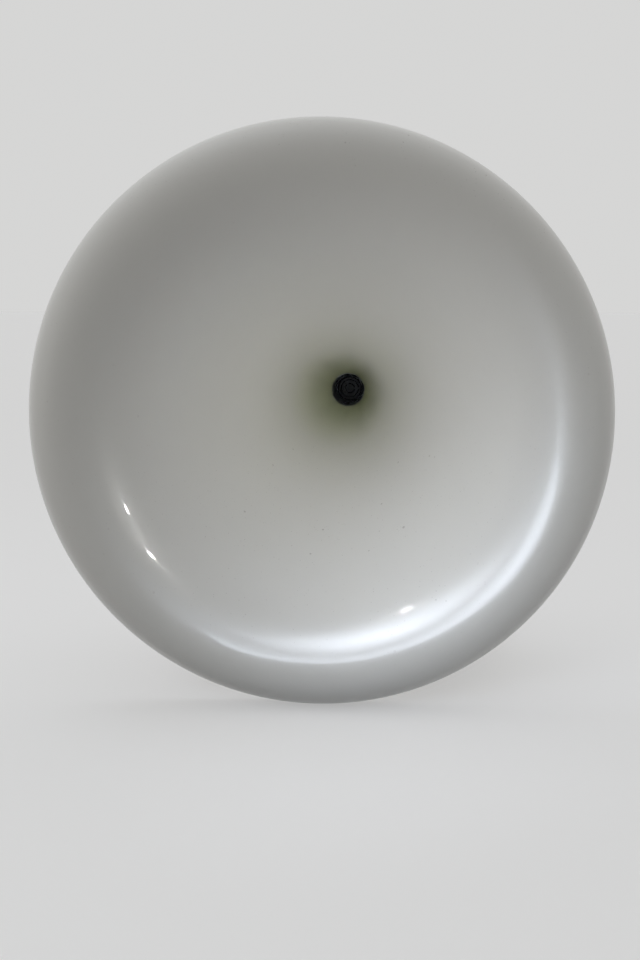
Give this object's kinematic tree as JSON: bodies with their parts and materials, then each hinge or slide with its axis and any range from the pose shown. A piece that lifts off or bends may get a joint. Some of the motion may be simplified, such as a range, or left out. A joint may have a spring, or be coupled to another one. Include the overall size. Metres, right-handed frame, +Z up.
{
  "type": "loudspeaker horn with driver and tilting stand",
  "caption": "Large round white horn with a rolled lip, a compression driver at its throat, and a tilting stand on a plywood board.",
  "frame": {"origin": "centre of the base board's underside", "axes": "+Z up, the mouth faces -Y, the tilt axis lies along X"},
  "size_m": [0.786, 0.7545, 0.786],
  "materials": {
    "white_gel_coat": "satin",
    "cast_aluminium": "satin",
    "zinc_plated_steel": "satin",
    "ferrite": "matte",
    "black_cast_aluminium": "satin",
    "powder_coated_steel": "matte",
    "titanium": "satin",
    "copper": "satin",
    "phenolic": "matte",
    "black_plastic": "satin",
    "red_plastic": "satin",
    "rubber": "matte",
    "gasket_card": "matte",
    "felt": "matte",
    "birch_plywood": "satin"
  },
  "bodies": {
    "stand": {"upright_left": "powder_coated_steel", "upright_right": "powder_coated_steel", "upright_screw_1": "zinc_plated_steel", "upright_screw_2": "zinc_plated_steel", "upright_screw_3": "zinc_plated_steel", "upright_screw_4": "zinc_plated_steel", "upright_screw_5": "zinc_plated_steel", "upright_screw_6": "zinc_plated_steel", "base_board": "birch_plywood"},
    "head": {"horn_shell": "white_gel_coat", "throat_flange": "cast_aluminium", "driver_gasket": "gasket_card", "driver_bolt_1": "zinc_plated_steel", "driver_bolt_2": "zinc_plated_steel", "driver_bolt_3": "zinc_plated_steel", "driver_bolt_4": "zinc_plated_steel", "bolt_washer_1": "zinc_plated_steel", "bolt_washer_2": "zinc_plated_steel", "bolt_washer_3": "zinc_plated_steel", "bolt_washer_4": "zinc_plated_steel", "driver_front_plate": "zinc_plated_steel", "pole_piece": "zinc_plated_steel", "magnet_ring": "ferrite", "rear_plate": "zinc_plated_steel", "phase_plug": "black_plastic", "diaphragm_ring": "phenolic", "diaphragm_screw_1": "zinc_plated_steel", "diaphragm_screw_2": "zinc_plated_steel", "diaphragm_screw_3": "zinc_plated_steel", "diaphragm_screw_4": "zinc_plated_steel", "cover_gasket": "gasket_card", "rear_cover": "black_cast_aluminium", "cover_screw_1": "zinc_plated_steel", "cover_screw_2": "zinc_plated_steel", "cover_screw_3": "zinc_plated_steel", "cover_screw_4": "zinc_plated_steel", "cover_screw_5": "zinc_plated_steel", "cover_screw_6": "zinc_plated_steel", "damping_pad": "felt", "terminal_block": "black_plastic", "lead_wire_red": "red_plastic", "lead_wire_black": "black_plastic", "clamp_half_left": "cast_aluminium", "clamp_half_right": "cast_aluminium", "clamp_liner": "rubber", "clamp_bolt_1": "zinc_plated_steel", "clamp_bolt_2": "zinc_plated_steel", "clamp_nut_1": "zinc_plated_steel", "clamp_nut_2": "zinc_plated_steel", "friction_washer_left": "rubber", "friction_washer_right": "rubber"},
    "knob_left": {"knob_left": "black_plastic"},
    "knob_right": {"knob_right": "black_plastic"},
    "diaphragm": {"diaphragm_dome": "titanium", "voice_coil": "copper"},
    "terminal_red": {"push_terminal_red": "red_plastic"},
    "terminal_black": {"push_terminal_black": "black_plastic"}
  },
  "joints": [
    {"name": "tilt", "type": "hinge", "parent": "stand", "child": "head", "pos_m": [0, 0, 0.27], "axis": [1, 0, 0], "range_deg": [-10, 10]},
    {"name": "knob_right_turn", "type": "hinge", "parent": "head", "child": "knob_right", "pos_m": [0.15, 0, 0.27], "axis": [1, 0, 0], "range_deg": [0, 360]},
    {"name": "knob_left_turn", "type": "hinge", "parent": "head", "child": "knob_left", "pos_m": [-0.15, 0, 0.27], "axis": [-1, 0, 0], "range_deg": [0, 360]},
    {"name": "diaphragm_stroke", "type": "slide", "parent": "head", "child": "diaphragm", "axis": [0, 1, 0], "range_m": [-0.0004, 0.0004], "stiffness_N_per_m": 1500},
    {"name": "terminal_red_push", "type": "slide", "parent": "head", "child": "terminal_red", "axis": [0, -1, 0], "range_m": [0, 0.0025], "stiffness_N_per_m": 800, "springref_m": -0.001},
    {"name": "terminal_black_push", "type": "slide", "parent": "head", "child": "terminal_black", "axis": [0, -1, 0], "range_m": [0, 0.0025], "stiffness_N_per_m": 800, "springref_m": -0.001}
  ]
}
